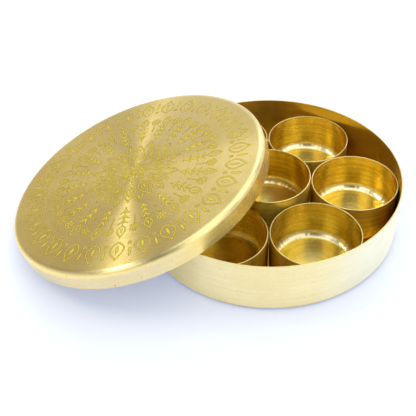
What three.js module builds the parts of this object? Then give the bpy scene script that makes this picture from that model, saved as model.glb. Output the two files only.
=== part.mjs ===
// Spice box in sheet brass: a round box, seven loose cups and a lid that leans on the box.
// Millimetres, +Z up. The origin is on the table, in the middle of the space that the box and its
// leaning lid take up together.
// Every piece is one sheet spun to a closed outline, so each is an outline turned round an axis.
import * as THREE from 'three';

const degrees = THREE.MathUtils.degToRad;

// Box, measured over the outside
const boxRadius = 100;
const boxHeight = 43.4;
const boxSheet = 0.9;
const boxCorner = 3.5;

// Boss pressed up in the middle of the box's floor, where the centre cup stands
const bossHeight = 6.7;
const bossSlope = 2.2;
const bossRound = 1.4;
const bossClearance = 0.8;

// Cups: six stand in a ring against the wall round a seventh, all alike
const cupHeight = 32.5;
const cupSheet = 0.8;
const cupCorner = 5;
const wallClearance = 0.3;
const cupClearance = 1;
const ringTurns = {
  cup_right: degrees(0.9),
  cup_back_right: degrees(60.4),
  cup_back_left: degrees(120.5),
  cup_left: degrees(180.6),
  cup_front_left: degrees(241.7),
  cup_front_right: degrees(301.5),
};

// Lid: its skirt goes loosely over the box's wall
const lidSheet = 0.8;
const lidClearance = 2.6;
const lidHeight = 15.2;
const lidCorner = 4;

// How the lid leans: low edge on the table, top over the box's left side
const lidLean = degrees(16.45);
const lidTurn = degrees(1.2);
const lidSideways = 2.3;
const seatGap = 0.25;

// Facets round each piece, and along each rounding
const boxFacets = 96;
const lidFacets = 96;
const cupFacets = 48;
const roundingFacets = 3;

// Sizes that follow. Seven equal circles in a larger one: its inside holds three cups across a
// radius and a half, so what is left of the radius after both clearances makes three cup radii.
const boxInside = boxRadius - boxSheet;
const cupRadius = (boxInside - wallClearance - cupClearance) / 3;
const ringRadius = boxInside - wallClearance - cupRadius;
const bossRadius = ringRadius - cupRadius - bossClearance;
const lidInside = boxRadius + lidClearance;
const lidRadius = lidInside + lidSheet;

// Corners of an outline, each [radius, height, rounding], to the points of the outline: a corner
// with a rounding becomes an arc that meets both of its edges as a tangent.
function outlineOf(corners) {
  const points = corners.map(([radius, height]) => new THREE.Vector2(radius, height));
  return corners.flatMap(([, , rounding], i) => {
    if (!rounding) return [points[i]];
    const back = points[i - 1].clone().sub(points[i]).normalize();
    const ahead = points[i + 1].clone().sub(points[i]).normalize();
    const halfAngle = Math.acos(back.dot(ahead)) / 2;
    const run = rounding / Math.tan(halfAngle);
    const middle = back.clone().add(ahead).setLength(rounding / Math.sin(halfAngle)).add(points[i]);
    const first = back.setLength(run).add(points[i]).sub(middle);
    const last = ahead.setLength(run).add(points[i]).sub(middle);
    const sweep = Math.atan2(first.cross(last), first.dot(last));
    return Array.from({ length: roundingFacets + 1 }, (_, step) =>
      first.clone().rotateAround(new THREE.Vector2(), (sweep * step) / roundingFacets).add(middle));
  });
}

// A piece of sheet brass: the outline, from the underside's middle to the top's, turned round Z.
function spunPiece(name, corners, facets, finish) {
  const geometry = new THREE.LatheGeometry(outlineOf(corners), facets);
  geometry.rotateX(Math.PI / 2);
  const piece = new THREE.Mesh(geometry, new THREE.MeshStandardMaterial(finish));
  piece.name = name;
  return piece;
}

// Box: the boss is pressed up out of the floor's own sheet, so it is hollow from below.
function makeBox() {
  const bossTop = bossRadius - bossSlope;
  return spunPiece('box', [
    [0, bossHeight],
    [bossTop - boxSheet, bossHeight, bossRound],
    [bossRadius - boxSheet, 0, bossRound + boxSheet],
    [boxRadius, 0, boxCorner],
    [boxRadius, boxHeight],
    [boxInside, boxHeight],
    [boxInside, boxSheet, boxCorner - boxSheet],
    [bossRadius, boxSheet, bossRound],
    [bossTop, bossHeight + boxSheet, bossRound + boxSheet],
    [0, bossHeight + boxSheet],
  ], boxFacets, { color: 0xd2a63c, roughness: 0.32, metalness: 1 });
}

// Cup: straight wall, flat floor, plain rim.
function makeCup(name) {
  const cupInside = cupRadius - cupSheet;
  return spunPiece(name, [
    [0, 0],
    [cupRadius, 0, cupCorner],
    [cupRadius, cupHeight],
    [cupInside, cupHeight],
    [cupInside, cupSheet, cupCorner - cupSheet],
    [0, cupSheet],
  ], cupFacets, { color: 0xc9952f, roughness: 0.26, metalness: 1 });
}

// Lid, with its own origin in the middle of the plate's top: a flat plate with a rounded edge
// and a straight skirt that hangs from it.
function makeLid() {
  return spunPiece('lid', [
    [0, -lidSheet],
    [lidInside, -lidSheet, lidCorner - lidSheet],
    [lidInside, -lidHeight],
    [lidRadius, -lidHeight],
    [lidRadius, 0, lidCorner],
    [0, 0],
  ], lidFacets, { color: 0xd9bd72, roughness: 0.36, metalness: 1 });
}

// Where the leaning lid comes to rest, as the place of the middle of its plate's top: x is
// uphill, towards the box's middle, and y is sideways. Its skirt's low edge stands on the table,
// which gives the height. Pushed uphill from there, either the underside of the plate meets the
// rim on the box's near side, or the skirt's edge meets the rim where the two circles cross.
function lidSeat() {
  const sine = Math.sin(lidLean);
  const cosine = Math.cos(lidLean);
  const height = lidRadius * sine + lidHeight * cosine;
  const below = lidSheet + seatGap + (boxHeight - height) * cosine;
  const whenPlateMeets = -boxRadius - below / sine;

  const alongSkirt = (boxHeight + seatGap) / sine - lidRadius;
  const acrossSkirt = Math.sqrt(lidInside ** 2 - alongSkirt ** 2) - lidSideways;
  const crossing = boxRadius ** 2 - acrossSkirt ** 2;
  const skirtReach = alongSkirt * cosine + lidHeight * sine;
  const whenSkirtMeets = crossing > 0 ? -Math.sqrt(crossing) - skirtReach : whenPlateMeets;
  return new THREE.Vector3(Math.min(whenPlateMeets, whenSkirtMeets), -lidSideways, height);
}

// The set as it stands on the table, laid out round the middle of the box's underside.
const set = new THREE.Group();
set.add(makeBox());

const centreCup = makeCup('cup_centre');
centreCup.position.z = boxSheet + bossHeight;
set.add(centreCup);

for (const [name, turn] of Object.entries(ringTurns)) {
  const cup = makeCup(name);
  cup.position.set(ringRadius * Math.cos(turn), ringRadius * Math.sin(turn), boxSheet);
  set.add(cup);
}

const leaning = new THREE.Group();
leaning.rotation.z = lidTurn;
const lid = makeLid();
lid.position.copy(lidSeat());
lid.rotation.y = -lidLean;
leaning.add(lid);
set.add(leaning);

// The origin moves to the middle of the set's footprint.
const footprint = new THREE.Box3().setFromObject(set, true).getCenter(new THREE.Vector3());
set.position.set(-footprint.x, -footprint.y, 0);
const spiceBox = new THREE.Group();
spiceBox.add(set);

export default spiceBox;
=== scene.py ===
"""Spice box in brushed brass: an open box with seven loose cups, and its lid leaning on it.

Every piece is turned from an outline round an axis, as the real ones are spun from sheet. The
lid's ornament is a rosette of fine etched lines. Metres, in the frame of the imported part.
"""
import math

import bpy
import numpy as np
from mathutils import Matrix, Vector


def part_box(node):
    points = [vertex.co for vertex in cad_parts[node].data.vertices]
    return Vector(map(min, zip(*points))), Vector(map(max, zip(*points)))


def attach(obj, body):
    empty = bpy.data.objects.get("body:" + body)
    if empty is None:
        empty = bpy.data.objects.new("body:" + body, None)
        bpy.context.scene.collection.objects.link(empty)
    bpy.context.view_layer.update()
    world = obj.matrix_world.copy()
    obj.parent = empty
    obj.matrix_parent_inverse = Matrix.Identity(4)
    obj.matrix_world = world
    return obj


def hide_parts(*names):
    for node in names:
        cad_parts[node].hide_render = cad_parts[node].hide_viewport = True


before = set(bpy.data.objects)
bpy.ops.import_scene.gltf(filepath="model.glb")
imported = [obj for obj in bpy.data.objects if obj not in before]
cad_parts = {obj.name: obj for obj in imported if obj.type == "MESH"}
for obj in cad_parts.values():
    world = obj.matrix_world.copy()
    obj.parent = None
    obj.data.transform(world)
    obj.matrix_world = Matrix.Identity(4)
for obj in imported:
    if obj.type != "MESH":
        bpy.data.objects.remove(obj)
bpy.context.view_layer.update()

MM = 0.001

# Sheet and roundings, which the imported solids' boxes don't tell
BOX_SHEET = 0.9 * MM
BOX_CORNER = 3.5 * MM
BOSS_HEIGHT = 6.7 * MM
BOSS_RADIUS = 32.8 * MM
BOSS_SLOPE = 2.2 * MM
BOSS_ROUND = 1.4 * MM
CUP_SHEET = 0.8 * MM
CUP_CORNER = 5 * MM
CUP_INNER_ROUND = 6.5 * MM
LID_SHEET = 0.8 * MM
LID_CORNER = 4 * MM
RIM_ROUND = 0.3 * MM

CUPS = sorted(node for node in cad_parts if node.startswith("cup_"))

# What share of its tone each cup's brass keeps, as painted shade: darker copies of the one brass
# for some cups. Then the waves left in the cups' inner rounding: how many sines, how often each
# goes round, at least and fewer than, how deep they are, and the stretch where they are deepest
# and over which they die away
CUP_PAINTED_SHADE = {"cup_front_right": 0.87, "cup_back_right": 0.96, "cup_front_left": 0.94}
RIPPLE_SINES = 12
RIPPLE_COUNTS = (14, 60)
RIPPLE_DEPTH = 0.14 * MM
RIPPLE_AT, RIPPLE_REACH = 4.0, 0.12

# Floor: its own tone, what it adds in a shadow and where metal mirrors it, and how far from its
# middle the shadow's blue fades to white
FLOOR_SIDE = 6.0
FLOOR_LEVEL = -0.2 * MM
FLOOR_TONE = (0.90, 0.81, 0.67)
FLOOR_SHADE = (0.07, 0.20, 0.44)
FLOOR_MIRRORED = (0.27, 0.33, 0.42)
FLOOR_FADE = (0.4, 1.0)

# Studio: the room's light at the horizon and at the zenith, and the sine of the height over
# which one turns into the other. Patches of the room are (azimuth, height, inner, outer, share
# of the light there in red, green and blue), and panels are (name, (azimuth, height), distance,
# size, watts), all in degrees, metres and watts
HORIZON_LIGHT = (0.97, 0.98, 1.02)
ZENITH_LIGHT = (0.43, 0.44, 0.47)
SKY_EASE = (0.05, 0.6)
ROOM_PATCHES = [
    (142, 24, 16, 32, (0.60, 0.51, 0.35)),
    (114, 29, 9, 25, (1.70, 1.72, 1.90)),
    (112, 4, 5, 22, (1.2, 1.25, 1.5)),
    (66, 32, 14, 28, (1.9, 1.9, 2.0)),
    (86, 47, 9, 22, (2.9, 2.9, 2.9)),
    (-134, 42, 7, 18, (4.2, 4.1, 3.8)),
    (-42, 42, 12, 28, (3.8, 3.8, 3.5)),
    (-92, 42, 8, 19, (0.08, 0.08, 0.08)),
]
PANELS = [
    ("panel_above", (93, 86), 1.3, (0.9, 1.1), 3.9),
    ("strip_left", (176, 49), 1.5, (0.6, 0.1), 2.3),
    ("panel_left", (163, 44), 1.5, (0.6, 0.3), 0.6),
    ("panel_right", (14, 50), 1.4, (0.8, 0.8), 2.5),
]

# Steps: along a rounding, along a straight run, and round a whole turn. Then the UV map's name
ROUNDING_STEPS = 8
RUN_STEPS = 14
BOX_TURNS = 360
CUP_TURNS = 256
LID_TURNS = 420
UV_NAME = "turned"

# Tones of the brass: first those that vary between a deep and a bright one, then plain ones
GOLD = ((0.72, 0.495, 0.062), (0.86, 0.645, 0.11))
CUP_GOLD = ((0.70, 0.49, 0.045), (0.97, 0.765, 0.14))
PLATE_GOLD = ((0.82, 0.64, 0.205), (0.89, 0.73, 0.275))
WALL_PALE = ((0.78, 0.70, 0.39), (0.90, 0.84, 0.57))
# Painted reflection: the box's outside turns whiter towards +X, as the bright floor it mirrors
# there
WALL_WHITE_REFLECTION = ((0.78, 0.80, 0.68), (0.87, 0.90, 0.80))
SKIRT_PALE = ((0.70, 0.61, 0.36), (0.82, 0.75, 0.52))
# Painted reflection: the lid's skirt turns gold uphill, as the brass cups it mirrors there
SKIRT_GOLD_REFLECTION = ((0.86, 0.67, 0.17), (0.96, 0.81, 0.27))
ETCHED = ((0.80, 0.62, 0.04), (0.92, 0.75, 0.07))
# Painted shade: the dark tones of the wider ribbons under the lines stand for the shade at an
# etched groove's edges
GROOVE_SHADE = ((0.24, 0.16, 0.03), (0.34, 0.23, 0.04))
# Painted highlight, partly a real rubbed edge: a pale tone on the roundings where the lamps'
# highlights fall, and on a cup's floor
BURNISHED_HIGHLIGHT_TONE = (0.97, 0.89, 0.60)
RIM_TONE = (0.86, 0.735, 0.36)
# Painted shade: the dark tone of the box's bottom rounding stands for the contact shadow at the
# floor
FOOT_PAINTED_SHADE = (0.36, 0.27, 0.16)
FLECK_TONE = (0.22, 0.12, 0.03)
BLACK, WHITE = (0.0, 0.0, 0.0), (1.0, 1.0, 1.0)

# How the turned brass of each kind looks, in the words of turned_brass. The corners between
# which a band lies are those of make_box, make_cup and make_lid, counted from the underside
BOX_LOOK = {
    "inner": GOLD, "outer": WALL_PALE, "uphill": WALL_WHITE_REFLECTION,
    # The foot band is painted contact shade
    "outside": (3.07, 4), "rim": (4, 5), "foot": (2.9, 3.01),
    "rubbed_highlight_band": (5.95, 6.05), "rubbed_highlight_share": 0.4, "highlight_beyond_share": 0.0,
    "gloss": (0.30, 0.38), "anisotropy": 0.7, "coarse": 0.4, "streak": 2.0, "relief": 0.3,
}
CUP_LOOK = {
    "inner": CUP_GOLD, "outer": CUP_GOLD, "uphill": CUP_GOLD,
    "outside": (1, 2), "rim": (2, 3), "foot": None,
    "rubbed_highlight_band": (3.90, 4.08), "rubbed_highlight_share": 0.8, "highlight_beyond_share": 0.22,
    "gloss": (0.25, 0.36), "anisotropy": 0.9, "coarse": 0.8, "streak": 0.6, "relief": 0.3,
}
LID_LOOK = {
    "inner": PLATE_GOLD, "outer": SKIRT_PALE, "uphill": SKIRT_GOLD_REFLECTION,
    "outside": (3, 3.76), "rim": (2, 3), "foot": None,
    "rubbed_highlight_band": (3.80, 4.02), "rubbed_highlight_share": 0.25, "highlight_beyond_share": 0.0,
    "gloss": (0.27, 0.26), "anisotropy": 0.97, "coarse": 0.3, "streak": 0.3, "relief": 0.06,
}

# What all turned brass has in common. Noise: marks across one millimetre of the outline, then
# clouds and specks per metre, and how rough the marks and the clouds are. Then how much each
# noise gives to the tone, the relief and the roughness, to which rim and flecks add as well
FINE_MARKS, BROAD_MARKS = 3.4, 0.75
CLOUDS, SPECKS = 34.0, 620.0
MARKS_ROUGH, CLOUDS_ROUGH = 0.65, 0.55
MARKS_TONE, BROAD_TONE, CLOUD_TONE, SPECK_TONE = 0.55, 0.35, 0.3, 0.15
BROAD_RELIEF = 0.6
MARKS_MATT, CLOUD_MATT, RIM_MATT, FLECK_MATT = 0.10, 0.14, 0.18, 0.2

# Noise over which a tone turns from deep to bright and a fleck appears, and the cosine of the
# turn over which the uphill side, with its painted reflection, begins. Each band's softness is in
# stretch
TONE_RANGE = (0.36, 0.64)
FLECK_RANGE = (0.70, 0.76)
UPHILL_RANGE = (0.25, 0.75)
WALL_SOFT, RIM_SOFT, BURNISH_SOFT, BEYOND_SOFT, FOOT_SHADE_SOFT = 0.06, 0.006, 0.02, 0.1, 0.03
RIM_SHARE, FOOT_SHADE_SHARE, FLECK_SHARE = 0.7, 0.85, 0.5
MARK_DEPTH = 0.1 * MM

# Etched brass: grain and clouds per metre, the share of each in the tone, the grain's depth and
# how much of it shows, how metallic the brass is, and its roughness, to which the grain adds
GRAIN, GRAIN_CLOUDS = 1400.0, 60.0
GRAIN_TONE, GRAIN_CLOUD_TONE = 0.6, 0.4
GRAIN_RANGE = (0.35, 0.65)
GRAIN_DEPTH, GRAIN_RELIEF = 0.03 * MM, 0.3
ETCHED_METALLIC = 0.8
ETCHED_ROUGHNESS, GRAIN_MATT = 0.5, 0.1

# The ornament's lines, in the plate's own millimetres: half widths of a line, a fine line and a
# leaf's end, the heights of a ribbon's ridge, edges and keel, and what the dark groove ribbon,
# painted shade along each line, adds to the half width and its ridge's height
LINE, HAIRLINE, END = 0.42, 0.36, 0.06
RIDGE, EDGE, KEEL = 0.035, -0.001, -0.15
GROOVE_WIDER, GROOVE_RIDGE = 0.3, 0.012

# How often each figure of the ornament is repeated round the plate. Then the small flowers
# between the sprays: their petals, how far out they stand, how far their petals stand from
# their middle, and a petal's radius
FLOWER_PETALS, LOTUS_PETALS, SPRAYS, BORDER_PETALS = 8, 12, 20, 28
BLOSSOM_PETALS, BLOSSOM_OUT, BLOSSOM_REACH, BLOSSOM_PETAL = 5, 64.4, 2.3, 1.35

# The photograph's side and the camera's focal length in its pixels, the sensor's width in
# millimetres, then where the camera stands from the box's middle and how it is turned
PHOTO_SIDE = 416
FOCAL_PIXELS = 655.7
SENSOR = 36.0
CAMERA_DISTANCE = 531.0 * MM
CAMERA_ELEVATION = math.radians(42.29)
CAMERA_YAW = math.radians(-6.91)
CAMERA_PITCH = math.radians(41.72)
CAMERA_ROLL = math.radians(3.48)


# Outlines and turned surfaces

def one_long(vector):
    """A vector in the same direction, one long."""
    return vector / np.linalg.norm(vector)


def outline_of(corners):
    """Points of an outline from its corners, each (radius, height, rounding), and their stretch.

    A rounding is an arc that meets both edges of its corner as a tangent. A straight run is
    divided more finely towards its ends, by half a cosine wave, so that it shades flat. The
    stretch of a point is a whole number at each corner and grows evenly between two corners.
    """
    sharp = np.array([corner[:2] for corner in corners], float)
    arcs = [sharp[:1]]
    for before, corner, after, (_, _, rounding) in zip(sharp, sharp[1:], sharp[2:], corners[1:]):
        back, ahead = one_long(before - corner), one_long(after - corner)
        half_angle = math.acos(back @ ahead) / 2
        middle = corner + one_long(back + ahead) * rounding / math.sin(half_angle)
        run = rounding / math.tan(half_angle)
        first, last = corner + back * run - middle, corner + ahead * run - middle
        sweep = math.atan2(first[0] * last[1] - first[1] * last[0], first @ last)
        turn = sweep * np.linspace(0, 1, ROUNDING_STEPS + 1)[:, None]
        quarter = np.array([-first[1], first[0]])
        arcs.append(middle + first * np.cos(turn) + quarter * np.sin(turn))
    arcs.append(sharp[-1:])
    ease = ((1 - np.cos(np.pi * np.arange(1, RUN_STEPS) / RUN_STEPS)) / 2)[:, None]
    points = [arcs[0]]
    for start, end in zip(arcs, arcs[1:]):
        points += [start[-1] + (end[0] - start[-1]) * ease, end]
    outline = np.concatenate(points)
    run = np.concatenate([[0], np.cumsum(np.linalg.norm(np.diff(outline, axis=0), axis=1))])
    sizes = [len(arc) for arc in arcs]
    starts = np.concatenate([[0], np.cumsum(sizes[:-1])]) + (RUN_STEPS - 1) * np.arange(len(arcs))
    middles = [run[start:start + size].mean() for start, size in zip(starts, sizes)]
    return outline, run, np.interp(run, middles, np.arange(len(arcs)))


def turned_piece(name, corners, place, turns, finish, painted_shade_share=1.0, ripple=None):
    """A closed surface: the outline, which starts and ends on the axis, turned round it.

    Point (radius, height) at turn a goes to place @ (radius cos a, radius sin a, height). A
    ripple moves it along the outline's normal by a length worked out from its stretch and a.
    The UV map runs along the outline in u and round the axis in v, so that its tangent crosses
    the marks of the lathe. The attribute "lathe" holds (cos a, sin a, run along the outline in
    mm), "stretch" says between which corners of the outline a point lies, and "polish" is the
    same all over the piece: painted shade, the share of the full tone that its brass keeps.
    """
    outline, run, stretch = outline_of(corners)
    inner = outline[1:-1]
    rows = len(inner)
    angle = np.arange(turns) * 2 * np.pi / turns
    ring = np.stack([np.cos(angle), np.sin(angle)], -1)
    section = np.broadcast_to(inner[:, None, :], (rows, turns, 2))
    if ripple is not None:
        along = np.gradient(outline, axis=0)[1:-1]
        normal = np.stack([along[:, 1], -along[:, 0]], -1) / np.linalg.norm(along, axis=1)[:, None]
        section = section + normal[:, None, :] * ripple(stretch[1:-1, None], angle[None])[..., None]
    surface = np.concatenate([section[..., :1] * ring[None], section[..., 1:]], -1)
    poles = np.array([[0, 0, outline[0, 1]], [0, 0, outline[-1, 1]]])
    points = np.concatenate([surface.reshape(-1, 3), poles])

    here = np.arange(turns)
    ahead = (here + 1) % turns
    base = np.arange(rows - 1)[:, None] * turns
    walls = np.stack([base + here, base + ahead, base + turns + ahead, base + turns + here], -1)
    low, high = rows * turns, rows * turns + 1
    bottom = np.stack([np.full(turns, low), ahead, here], -1)
    last = (rows - 1) * turns
    top = np.stack([np.full(turns, high), last + here, last + ahead], -1)
    faces = [walls.reshape(-1, 4), bottom, top]

    share = run / run[-1]
    near, far = here / turns, (here + 1) / turns
    middle = (near + far) / 2
    first, second = share[1:-2, None], share[2:-1, None]
    uv = np.concatenate([
        uv_of_faces((first, near), (first, far), (second, far), (second, near)),
        uv_of_faces((0, middle), (share[1], far), (share[1], near)),
        uv_of_faces((1, middle), (share[-2], near), (share[-2], far)),
    ])
    piece = mesh_piece(name, in_place(points, place), faces, finish, uv)

    lathe = np.concatenate([
        np.concatenate([
            np.broadcast_to(ring, (rows, turns, 2)),
            np.broadcast_to(run[1:-1, None, None] / MM, (rows, turns, 1)),
        ], -1).reshape(-1, 3),
        np.array([[1, 0, 0], [1, 0, run[-1] / MM]]),
    ])
    marks = np.concatenate([np.repeat(stretch[1:-1], turns), stretch[[0, -1]]])
    add_attribute(piece, "lathe", "FLOAT_VECTOR", "vector", lathe)
    add_attribute(piece, "stretch", "FLOAT", "value", marks)
    add_attribute(piece, "painted_shade_share", "FLOAT", "value", np.full(len(points), painted_shade_share))
    return piece


def uv_of_faces(*corners):
    """The UV map of faces in a row, from each corner's u and v as numbers or arrays."""
    parts = np.broadcast_arrays(*(part for corner in corners for part in corner))
    return np.stack(parts, -1).ravel()


def add_attribute(piece, name, kind, field, values):
    """Gives every point of a piece its value of a named attribute, which its finish reads."""
    attribute = piece.data.attributes.new(name, kind, "POINT")
    attribute.data.foreach_set(field, values.astype(np.float32).ravel())


def in_place(points, place):
    """Points of a piece's own frame, (n, 3), in the frame of the whole part."""
    turn = np.array(place.to_3x3())
    return points @ turn.T + np.array(place.translation)


def mesh_piece(name, points, faces, finish, uv=None):
    """A smooth mesh object from points (n, 3) and a list of face arrays, each (m, corners)."""
    mesh = bpy.data.meshes.new(name)
    corners = np.concatenate([block.ravel() for block in faces]).astype(np.int32)
    sizes = np.concatenate([np.full(len(block), block.shape[1]) for block in faces])
    starts = np.concatenate([[0], np.cumsum(sizes)[:-1]]).astype(np.int32)
    mesh.vertices.add(len(points))
    mesh.vertices.foreach_set("co", points.astype(np.float32).ravel())
    mesh.loops.add(len(corners))
    mesh.loops.foreach_set("vertex_index", corners)
    mesh.polygons.add(len(starts))
    mesh.polygons.foreach_set("loop_start", starts)
    mesh.update(calc_edges=True)
    mesh.validate()
    mesh.shade_smooth()
    if uv is not None:
        layer = mesh.uv_layers.new(name=UV_NAME)
        layer.data.foreach_set("uv", uv.astype(np.float32))
    mesh.materials.append(finish)
    piece = bpy.data.objects.new(name, mesh)
    bpy.context.scene.collection.objects.link(piece)
    return piece


# Finishes

class Signal:
    """An output socket in a finish. Arithmetic on it adds Math nodes to the same finish."""

    def __init__(self, finish, socket):
        self.finish, self.socket = finish, socket

    def __add__(self, other):
        return self.finish.math("ADD", self, other)

    def __radd__(self, other):
        return self.finish.math("ADD", other, self)

    def __sub__(self, other):
        return self.finish.math("SUBTRACT", self, other)

    def __mul__(self, other):
        return self.finish.math("MULTIPLY", self, other)

    def __rmul__(self, other):
        return self.finish.math("MULTIPLY", other, self)


class Finish:
    """The node tree of a material or of the world, with its nodes written as expressions."""

    def __init__(self, owner):
        self.owner = owner
        owner.use_nodes = True
        self.tree = owner.node_tree
        self.tree.nodes.clear()

    def node(self, kind, settings=None, inputs=None, output=0):
        """A node's output: the node's settings are made first, then its inputs' values or links."""
        made = self.tree.nodes.new(kind)
        for name, value in (settings or {}).items():
            setattr(made, name, value)
        for name, value in (inputs or {}).items():
            if isinstance(value, Signal):
                self.tree.links.new(value.socket, made.inputs[name])
            else:
                made.inputs[name].default_value = value
        return Signal(self, made.outputs[output])

    def math(self, operation, *values):
        """A Math node of that operation on these values."""
        return self.node("ShaderNodeMath", {"operation": operation}, dict(enumerate(values)))

    def noise(self, vector, scale, detail=2.0, roughness=0.5):
        """A Noise Texture's value, from 0 to 1 and mostly near a half."""
        inputs = {"Vector": vector, "Scale": scale, "Detail": detail, "Roughness": roughness}
        return self.node("ShaderNodeTexNoise", None, inputs)

    def between(self, value, low, high, start=0.0, end=1.0):
        """value eased from start, where it is low, to end, where it is high."""
        inputs = {"Value": value, "From Min": low, "From Max": high, "To Min": start, "To Max": end}
        return self.node("ShaderNodeMapRange", {"interpolation_type": "SMOOTHSTEP"}, inputs)

    def band(self, value, start, end, soft):
        """1 where value lies from start to end, eased over soft to 0 outside them."""
        fall = self.between(value, end, end + soft, 1.0, 0.0)
        return self.between(value, start - soft, start) * fall

    def blend(self, share, first, second):
        """A colour between two, each three numbers or a signal.

        A Mix node's sockets for colours share their names with others, so they go by number.
        """
        first, second = (c if isinstance(c, Signal) else (*c, 1.0) for c in (first, second))
        inputs = {0: share, 6: first, 7: second}
        return self.node("ShaderNodeMix", {"data_type": "RGBA"}, inputs, output=2)

    def stretched(self, vector, x, y, z):
        """A vector with each part multiplied by its own factor."""
        settings = {"operation": "MULTIPLY"}
        return self.node("ShaderNodeVectorMath", settings, {0: vector, 1: (x, y, z)})

    def done(self, shader, kind="ShaderNodeOutputMaterial"):
        """Joins a shader to the tree's output and returns the material or world."""
        end = self.tree.nodes.new(kind)
        self.tree.links.new(shader.socket, end.inputs["Surface"])
        return self.owner


def turned_brass(name, inner, outer, uphill, outside, rim, foot, rubbed_highlight_band, rubbed_highlight_share, highlight_beyond_share,
                 gloss, anisotropy, coarse, streak, relief):
    """Brass turned on a lathe: fine marks that run round the piece and change from ring to ring.

    inner, outer and uphill are each a deep and a bright tone: outer lies where the stretch is
    within outside and turns to uphill towards +X, a painted reflection of what that side mirrors,
    and inner lies elsewhere. Within rim the tone is the rim's, within foot, which stands on the
    table, it is darkened as painted contact shade, and within burnished it is made paler by the
    share burnish, partly a rubbed edge and partly a painted highlight, and further along the
    outline by the share beyond, as painted highlight. Gloss is the roughness elsewhere and within
    outside, and anisotropy stretches it across the marks.

    The noise is read at (cos a, sin a, run): streak on the first two sets how long a mark runs
    round the axis, and the factor on the run how thin it is. Coarse is how far broad marks take
    the place of fine ones, and relief is the share of the marks' full depth.
    """
    finish = Finish(bpy.data.materials.new(name))
    lathe = finish.node("ShaderNodeAttribute", {"attribute_name": "lathe"}, output="Vector")
    stretch = finish.node("ShaderNodeAttribute", {"attribute_name": "stretch"}, output="Fac")
    painted_shade_share = finish.node("ShaderNodeAttribute", {"attribute_name": "painted_shade_share"}, output="Fac")
    place = finish.node("ShaderNodeTexCoord", output="Object")
    fine = finish.noise(finish.stretched(lathe, streak, streak, FINE_MARKS), 1.0, 3.0, MARKS_ROUGH)
    broad = finish.noise(finish.stretched(lathe, streak, streak, BROAD_MARKS), 1.0, 2.0)
    cloud = finish.noise(place, CLOUDS, 3.0, CLOUDS_ROUGH)
    speck = finish.noise(place, SPECKS, 2.0)

    marks = (MARKS_TONE - BROAD_TONE * coarse) * fine + BROAD_TONE * coarse * broad
    tone = finish.between(marks + CLOUD_TONE * cloud + SPECK_TONE * speck, *TONE_RANGE)
    side = finish.node("ShaderNodeSeparateXYZ", None, {0: lathe}, "X")
    # Painted reflection: towards +X the outside turns to the uphill tone, for what that side
    # mirrors
    pale = finish.blend(finish.between(side, *UPHILL_RANGE), finish.blend(tone, *outer),
                        finish.blend(tone, *uphill))
    wall = finish.band(stretch, *outside, WALL_SOFT)
    colour = finish.blend(wall, finish.blend(tone, *inner), pale)
    # Painted highlight: the roundings, and a cup's floor beyond them, are made paler, partly as a
    # rubbed edge
    after = finish.between(stretch, rubbed_highlight_band[1], rubbed_highlight_band[1] + BEYOND_SOFT)
    rubbed_highlight = rubbed_highlight_share * finish.band(stretch, *rubbed_highlight_band, BURNISH_SOFT) + highlight_beyond_share * after
    colour = finish.blend(rubbed_highlight, colour, BURNISHED_HIGHLIGHT_TONE)
    edge = finish.band(stretch, *rim, RIM_SOFT)
    colour = finish.blend(edge * RIM_SHARE, colour, RIM_TONE)
    # Painted shade: the foot band darkens the bottom rounding as a contact shadow
    if foot:
        foot_shade = finish.band(stretch, *foot, FOOT_SHADE_SOFT)
        colour = finish.blend(foot_shade * FOOT_SHADE_SHARE, colour, FOOT_PAINTED_SHADE)
    fleck = finish.between(speck, *FLECK_RANGE)
    colour = finish.blend(fleck * FLECK_SHARE, colour, FLECK_TONE)
    # Painted shade: the whole piece's tone is darkened by its share
    colour = finish.blend(painted_shade_share, BLACK, colour)

    smooth = gloss[0] + (gloss[1] - gloss[0]) * wall + RIM_MATT * edge
    uneven = smooth + MARKS_MATT * (fine - 0.5) + CLOUD_MATT * (cloud - 0.5)
    rough = uneven + FLECK_MATT * fleck
    height = (1.0 - BROAD_RELIEF * coarse) * fine + BROAD_RELIEF * coarse * broad
    settings = {"Strength": relief, "Distance": MARK_DEPTH, "Height": height}
    bump = finish.node("ShaderNodeBump", None, settings)
    tangent = finish.node("ShaderNodeTangent", {"direction_type": "UV_MAP", "uv_map": UV_NAME})
    return finish.done(finish.node("ShaderNodeBsdfPrincipled", None, {
        "Base Color": colour, "Metallic": 1.0, "Roughness": rough, "Normal": bump,
        "Anisotropic": anisotropy, "Tangent": tangent,
    }))


def etched_brass(name, deep, bright):
    """Brass of the etched lines, or dark brass painted as the shade of their grooves: matt, with a
    fine grain, in two tones.
    """
    finish = Finish(bpy.data.materials.new(name))
    place = finish.node("ShaderNodeTexCoord", output="Object")
    grain = finish.noise(place, GRAIN, 2.0)
    cloud = finish.noise(place, GRAIN_CLOUDS, 2.0)
    mix = GRAIN_TONE * grain + GRAIN_CLOUD_TONE * cloud
    colour = finish.blend(finish.between(mix, *GRAIN_RANGE), deep, bright)
    settings = {"Strength": GRAIN_RELIEF, "Distance": GRAIN_DEPTH, "Height": grain}
    bump = finish.node("ShaderNodeBump", None, settings)
    return finish.done(finish.node("ShaderNodeBsdfPrincipled", None, {
        "Base Color": colour, "Metallic": ETCHED_METALLIC,
        "Roughness": ETCHED_ROUGHNESS + GRAIN_MATT * grain, "Normal": bump,
    }))


# Pieces

def upright(node):
    """The place of an upright round node: the middle of its underside."""
    low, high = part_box(node)
    return Matrix.Translation(((low.x + high.x) / 2, (low.y + high.y) / 2, low.z))


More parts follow.
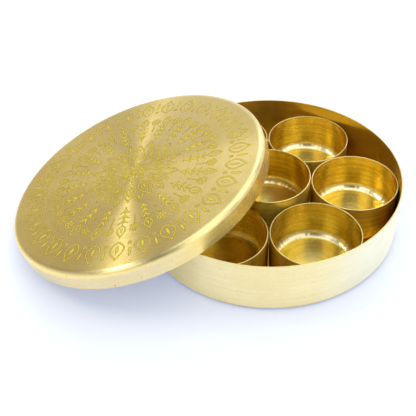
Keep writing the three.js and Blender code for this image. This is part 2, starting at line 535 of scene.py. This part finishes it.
def lid_place():
    """The lid's own frame, radius and height.

    The frame stands in the middle of the plate's top, with x uphill and z along the axis. The
    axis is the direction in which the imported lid's vertices spread least about their mean.
    """
    points = np.array([v.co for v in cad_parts["lid"].data.vertices], float)
    mean = points.mean(0)
    axis = np.linalg.svd(points - mean, full_matrices=False)[2][2]
    axis = axis * np.sign(axis[2])
    along = (points - mean) @ axis
    across = points - mean - along[:, None] * axis
    uphill = one_long(np.array([0, 0, 1]) - axis[2] * axis)
    place = np.eye(4)
    place[:3, :3] = np.stack([uphill, np.cross(axis, uphill), axis], -1)
    place[:3, 3] = mean + axis * along.max()
    return Matrix(place.tolist()), np.linalg.norm(across, axis=1).max(), np.ptp(along)


def size_of(node):
    """The radius and height of an upright round node."""
    low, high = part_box(node)
    return (high.x - low.x) / 2, high.z - low.z


def make_box(finish):
    """The box: a straight wall on a flat floor whose middle is pressed up as a boss."""
    radius, height = size_of("box")
    inside = radius - BOX_SHEET
    boss_top = BOSS_RADIUS - BOSS_SLOPE
    return turned_piece("box_shell", [
        (0, BOSS_HEIGHT, 0),
        (boss_top - BOX_SHEET, BOSS_HEIGHT, BOSS_ROUND),
        (BOSS_RADIUS - BOX_SHEET, 0, BOSS_ROUND + BOX_SHEET),
        (radius, 0, BOX_CORNER),
        (radius, height, RIM_ROUND),
        (inside, height, RIM_ROUND),
        (inside, BOX_SHEET, BOX_CORNER - BOX_SHEET),
        (BOSS_RADIUS, BOX_SHEET, BOSS_ROUND),
        (boss_top, BOSS_HEIGHT + BOX_SHEET, BOSS_ROUND + BOX_SHEET),
        (0, BOSS_HEIGHT + BOX_SHEET, 0),
    ], upright("box"), BOX_TURNS, finish)


def make_cup(node, number, finish):
    """A cup: a straight wall and a flat floor, joined by a rounding that the spinning left wavy.

    The ripple is a sum of sine waves round the cup, strongest in the rounding inside.
    """
    radius, height = size_of(node)
    inside = radius - CUP_SHEET
    waves = np.random.default_rng(number)
    counts = waves.integers(*RIPPLE_COUNTS, RIPPLE_SINES)
    phases = waves.uniform(0, 2 * np.pi, RIPPLE_SINES)

    def ripple(stretch, angle):
        wave = np.sin(counts[:, None] * angle + phases[:, None]).mean(0)
        return RIPPLE_DEPTH * wave * np.exp(-((stretch - RIPPLE_AT) / RIPPLE_REACH) ** 2)

    return turned_piece(node + "_shell", [
        (0, 0, 0),
        (radius, 0, CUP_CORNER),
        (radius, height, RIM_ROUND),
        (inside, height, RIM_ROUND),
        (inside, CUP_SHEET, CUP_INNER_ROUND),
        (0, CUP_SHEET, 0),
    ], upright(node), CUP_TURNS, finish, CUP_PAINTED_SHADE.get(node, 1.0), ripple)


def make_lid(place, radius, height, finish):
    """The lid: a flat plate, a rounded edge and a straight skirt."""
    inside = radius - LID_SHEET
    return turned_piece("lid_shell", [
        (0, -LID_SHEET, 0),
        (inside, -LID_SHEET, LID_CORNER - LID_SHEET),
        (inside, -height, RIM_ROUND),
        (radius, -height, RIM_ROUND),
        (radius, 0, LID_CORNER),
        (0, 0, 0),
    ], place, LID_TURNS, finish)


# The lid's ornament: every line is a curve of points (radius, sideways) repeated round the plate

def spread(curve, copies, first=0.0):
    """A curve (points, 2) turned to each of so many places round the axis, (copies, points, 2)."""
    turn = (np.arange(copies) + first) * 2 * np.pi / copies
    cosine, sine = np.cos(turn)[:, None], np.sin(turn)[:, None]
    out, side = curve[None, :, 0], curve[None, :, 1]
    return np.stack([out * cosine - side * sine, out * sine + side * cosine], -1)


def petal(base, tip, half_width, points=36):
    """A closed petal along the radius from base to a pointed tip.

    At the share t of its length its half width is 1.35 half_width sin(pi t)^0.9 (1 - t)^0.45,
    which is a sine that is drawn in near the tip.
    """
    around = np.arange(points) * 2 * np.pi / points
    along = (1 - np.cos(around)) / 2
    breadth = half_width * 1.35 * np.sin(np.pi * along) ** 0.9 * (1 - along) ** 0.45
    return np.stack([base + (tip - base) * along, breadth * np.sign(np.sin(around))], -1)


def ring_round(out, side, radius, points=12):
    """A closed circle round a point of the plate."""
    around = np.arange(points) * 2 * np.pi / points
    return np.stack([out + radius * np.cos(around), side + radius * np.sin(around)], -1)


def stroke(start, end, bend=0.0, points=14):
    """An open line between two points that bows sideways as half a sine wave."""
    along = np.linspace(0, 1, points)[:, None]
    start, end = np.array(start, float), np.array(end, float)
    across = np.array([start[1] - end[1], end[0] - start[0]])
    return start + (end - start) * along + across * bend * np.sin(np.pi * along)


def even(points, half_width):
    """The half width of a line that stays the same all along."""
    return np.full(points.shape[-2], half_width)


def leaf(points, half_width):
    """A filled leaf's half width: END + half_width sin(pi t^0.8) at the share t of its line."""
    along = np.linspace(0, 1, points.shape[-2])
    return END + half_width * np.sin(np.pi * along ** 0.8)


def ornament():
    """The rosette, as (points (copies, n, 2), half width (n,), closed) for each kind of line.

    From the middle outwards it is a flower, a lotus with buds, sprays with small flowers, and a
    border of petals. Places are radii, or pairs of radius and sideways, in millimetres.
    """
    lines = []

    def closed(points, half_width=LINE):
        lines.append((points, even(points, half_width), True))

    def filled(points, half_width):
        lines.append((points, leaf(points, half_width), False))

    # Middle: a small flower
    closed(ring_round(0, 0, 2.2, 48)[None])
    closed(spread(petal(3.4, 12.4, 2.4), FLOWER_PETALS))
    filled(spread(stroke((5.6, 0), (9.4, 0)), FLOWER_PETALS), 0.5)

    # Lotus: petals, each with an inner line and a filled heart, and buds between them
    closed(spread(petal(14.4, 35.0, 4.7, 64), LOTUS_PETALS))
    closed(spread(petal(17.6, 29.6, 2.5, 40), LOTUS_PETALS), HAIRLINE)
    filled(spread(stroke((19.4, 0), (25.6, 0)), LOTUS_PETALS), 0.8)
    for side in (-1, 1):
        edge = stroke((27.4, side * 3.0), (38.6, side * 0.1), side * 0.10)
        filled(spread(edge, LOTUS_PETALS, 0.5), 0.42)
    filled(spread(stroke((30.4, 0), (35.4, 0)), LOTUS_PETALS, 0.5), 0.8)

    # Sprays: a stem with three pairs of leaves and a bud, and a small flower between two sprays
    filled(spread(stroke((40.0, 0), (60.0, 0), points=24), SPRAYS), 0.34)
    for start, reach in ((42.6, 5.4), (48.0, 5.8), (53.4, 5.8)):
        for side in (-1, 1):
            tip = (start + reach * 0.8, side * reach * 0.75)
            filled(spread(stroke((start, side * 0.3), tip, side * -0.16), SPRAYS), 0.62)
    closed(spread(petal(60.0, 71.6, 3.0, 40), SPRAYS))
    filled(spread(stroke((62.6, 0), (67.6, 0)), SPRAYS), 0.7)
    for turn in np.arange(BLOSSOM_PETALS) * 2 * np.pi / BLOSSOM_PETALS:
        out = BLOSSOM_OUT + BLOSSOM_REACH * math.cos(turn)
        ring = ring_round(out, BLOSSOM_REACH * math.sin(turn), BLOSSOM_PETAL)
        closed(spread(ring, SPRAYS, 0.5), HAIRLINE)
    filled(spread(stroke((51.0, 0), (61.0, 0), points=16), SPRAYS, 0.5), 0.30)

    # Border: pointed petals with filled hearts, and a drop between two of them
    closed(spread(petal(76.6, 93.4, 5.2, 48), BORDER_PETALS))
    filled(spread(stroke((80.0, 0), (88.0, 0)), BORDER_PETALS), 1.0)
    filled(spread(stroke((83.4, 0), (92.2, 0)), BORDER_PETALS, 0.5), 0.75)
    closed(spread(ring_round(79.2, 0, 1.1), BORDER_PETALS, 0.5), HAIRLINE)
    return lines


def make_etching(name, place, finish, wider, ridge):
    """The ornament as low closed ribbons: a section of four corners is carried along each line.

    The corners are the line's left edge, its ridge, its right edge and a keel in the plate.
    Wider is what each side of the line gains over its own half width, and ridge is the ridge's
    height over the plate.
    """
    points, faces, count = [], [], 0
    for line, half_width, closed in ornament():
        copies, steps = line.shape[:2]
        if closed:
            along = np.roll(line, -1, 1) - np.roll(line, 1, 1)
        else:
            along = np.gradient(line, axis=1)
        along = along / np.linalg.norm(along, axis=-1, keepdims=True)
        side = np.stack([-along[..., 1], along[..., 0]], -1) * (half_width + wider)[None, :, None]
        section = np.stack([line + side, line, line - side, line], 2)
        height = np.broadcast_to([EDGE, ridge, EDGE, KEEL], (copies, steps, 4))
        points.append(np.concatenate([section, height[..., None]], -1).reshape(-1, 3) * MM)
        number = count + np.arange(copies * steps * 4).reshape(copies, steps, 4)
        count += copies * steps * 4
        ahead = np.roll(number, -1, 1) if closed else number[:, 1:]
        here = number if closed else number[:, :-1]
        sides = [here, np.roll(here, -1, 2), np.roll(ahead, -1, 2), ahead]
        faces.append(np.stack(sides, -1).reshape(-1, 4))
        if not closed:
            faces += [number[:, 0, ::-1], number[:, -1]]
    etching = mesh_piece(name, in_place(np.concatenate(points), place), faces, finish)
    etching.data.shade_flat()
    return etching


# Floor, light and camera

def make_floor(middle):
    """A wide pale floor: white where no shadow falls and far off, and faintly blue in a shadow."""
    finish = Finish(bpy.data.materials.new("pale_floor"))
    camera, glossy, through = (finish.node("ShaderNodeLightPath", output=kind) for kind in (
        "Is Camera Ray", "Is Glossy Ray", "Is Transmission Ray"))
    seen = finish.math("MAXIMUM", finish.math("MAXIMUM", camera, glossy), through)
    diffuse = finish.node("ShaderNodeBsdfDiffuse", None, {"Color": (*FLOOR_TONE, 1.0)})
    place = finish.node("ShaderNodeTexCoord", output="Object")
    away = finish.node("ShaderNodeVectorMath", {"operation": "LENGTH"}, {0: place}, "Value")
    tint = finish.blend(finish.between(away, *FLOOR_FADE), FLOOR_SHADE, WHITE)
    tint = finish.blend(glossy, tint, FLOOR_MIRRORED)
    lift = finish.node("ShaderNodeEmission", None, {"Color": tint, "Strength": seen})
    shader = finish.node("ShaderNodeAddShader", None, {0: diffuse, 1: lift})
    corners = np.array([[-1, -1], [1, -1], [1, 1], [-1, 1]]) * FLOOR_SIDE / 2
    points = np.concatenate([corners + np.array(middle[:2]), np.full((4, 1), FLOOR_LEVEL)], -1)
    floor = mesh_piece("floor", points, [np.arange(4)[None]], finish.done(shader))


def toward(azimuth, height):
    """The direction of an azimuth, from +X towards +Y, and a height, as a vector one long."""
    azimuth, height = math.radians(azimuth), math.radians(height)
    out = math.cos(height)
    return math.cos(azimuth) * out, math.sin(azimuth) * out, math.sin(height)


def add_panel(name, target, direction, distance, size, strength):
    """A soft rectangular lamp that faces a point from a direction, given as (azimuth, height)."""
    way = Vector(toward(*direction))
    lamp = bpy.data.lights.new(name, "AREA")
    lamp.shape = "RECTANGLE"
    lamp.size, lamp.size_y = size
    lamp.energy = strength
    panel = bpy.data.objects.new(name, lamp)
    bpy.context.scene.collection.objects.link(panel)
    panel.location = Vector(target) + way * distance
    panel.rotation_mode = "QUATERNION"
    panel.rotation_quaternion = (-way).to_track_quat("-Z", "Y")


def light_studio(middle):
    """A pale room with lighter and dimmer patches, and soft panels above and at the sides."""
    world = bpy.data.worlds.new("pale_room")
    bpy.context.scene.world = world
    room = Finish(world)
    way = room.node("ShaderNodeTexCoord", output="Generated")
    up = room.node("ShaderNodeSeparateXYZ", None, {0: way}, "Z")

    def patch(azimuth, height, inner, outer):
        """1 within inner degrees of a direction, falling to 0 at outer degrees."""
        inputs = {0: way, 1: toward(azimuth, height)}
        near = room.node("ShaderNodeVectorMath", {"operation": "DOT_PRODUCT"}, inputs, "Value")
        return room.between(near, math.cos(math.radians(outer)), math.cos(math.radians(inner)))

    light = room.blend(room.between(up, *SKY_EASE), HORIZON_LIGHT, ZENITH_LIGHT)
    for azimuth, height, inner, outer, share in ROOM_PATCHES:
        near = patch(azimuth, height, inner, outer)
        light = room.blend(near, light, room.stretched(light, *share))
    shader = room.node("ShaderNodeBackground", None, {"Color": light, "Strength": 1.0})
    room.done(shader, "ShaderNodeOutputWorld")
    for name, direction, distance, size, strength in PANELS:
        add_panel(name, middle, direction, distance, size, strength)


def photo_camera(middle):
    """The photograph's view: it stands in front of the box's middle, turned by three angles."""
    up = math.sin(CAMERA_ELEVATION)
    out = math.cos(CAMERA_ELEVATION)
    place = Vector((middle.x, middle.y - CAMERA_DISTANCE * out, CAMERA_DISTANCE * up))
    level_out = math.cos(CAMERA_PITCH)
    ahead = Vector((math.sin(CAMERA_YAW) * level_out, math.cos(CAMERA_YAW) * level_out,
                    -math.sin(CAMERA_PITCH)))
    level = Vector((math.cos(CAMERA_YAW), -math.sin(CAMERA_YAW), 0))
    down = ahead.cross(level)
    right = level * math.cos(CAMERA_ROLL) + down * math.sin(CAMERA_ROLL)
    below = down * math.cos(CAMERA_ROLL) - level * math.sin(CAMERA_ROLL)
    lens = bpy.data.cameras.new("photo_view")
    lens.sensor_width = SENSOR
    lens.lens = FOCAL_PIXELS / PHOTO_SIDE * SENSOR
    camera = bpy.data.objects.new("photo_view", lens)
    bpy.context.scene.collection.objects.link(camera)
    turn = Matrix((right, -below, -ahead)).transposed().to_4x4()
    camera.matrix_world = Matrix.Translation(place) @ turn
    bpy.context.scene.camera = camera


def build():
    """Makes the pieces, each riding on the body of the node that it stands for."""
    box_low, box_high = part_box("box")
    middle = Vector(((box_low.x + box_high.x) / 2, (box_low.y + box_high.y) / 2, 0))

    box = make_box(turned_brass("box_brass", **BOX_LOOK))
    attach(box, "box")
    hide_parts("box")

    cup_finish = turned_brass("cup_brass", **CUP_LOOK)
    for number, node in enumerate(CUPS):
        cup = make_cup(node, number, cup_finish)
        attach(cup, node)
        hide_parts(node)

    place, radius, height = lid_place()
    lid = make_lid(place, radius, height, turned_brass("lid_brass", **LID_LOOK))
    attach(lid, "lid")
    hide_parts("lid")
    etched, groove_shade = etched_brass("etched_brass", *ETCHED), etched_brass("groove_shade_brass", *GROOVE_SHADE)
    lines = make_etching("lid_etching", place, etched, 0, RIDGE)
    # Painted shade: dark ribbons round the lines stand for the shade of their grooves
    groove_shades = make_etching("lid_groove_shade", place, groove_shade, GROOVE_WIDER, GROOVE_RIDGE)
    for etching in (lines, groove_shades):
        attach(etching, "lid")

    make_floor(middle)
    light_studio(middle)
    photo_camera(middle)


build()
bpy.context.scene.view_settings.view_transform = "Standard"
bpy.context.scene.cycles.glossy_bounces = 10
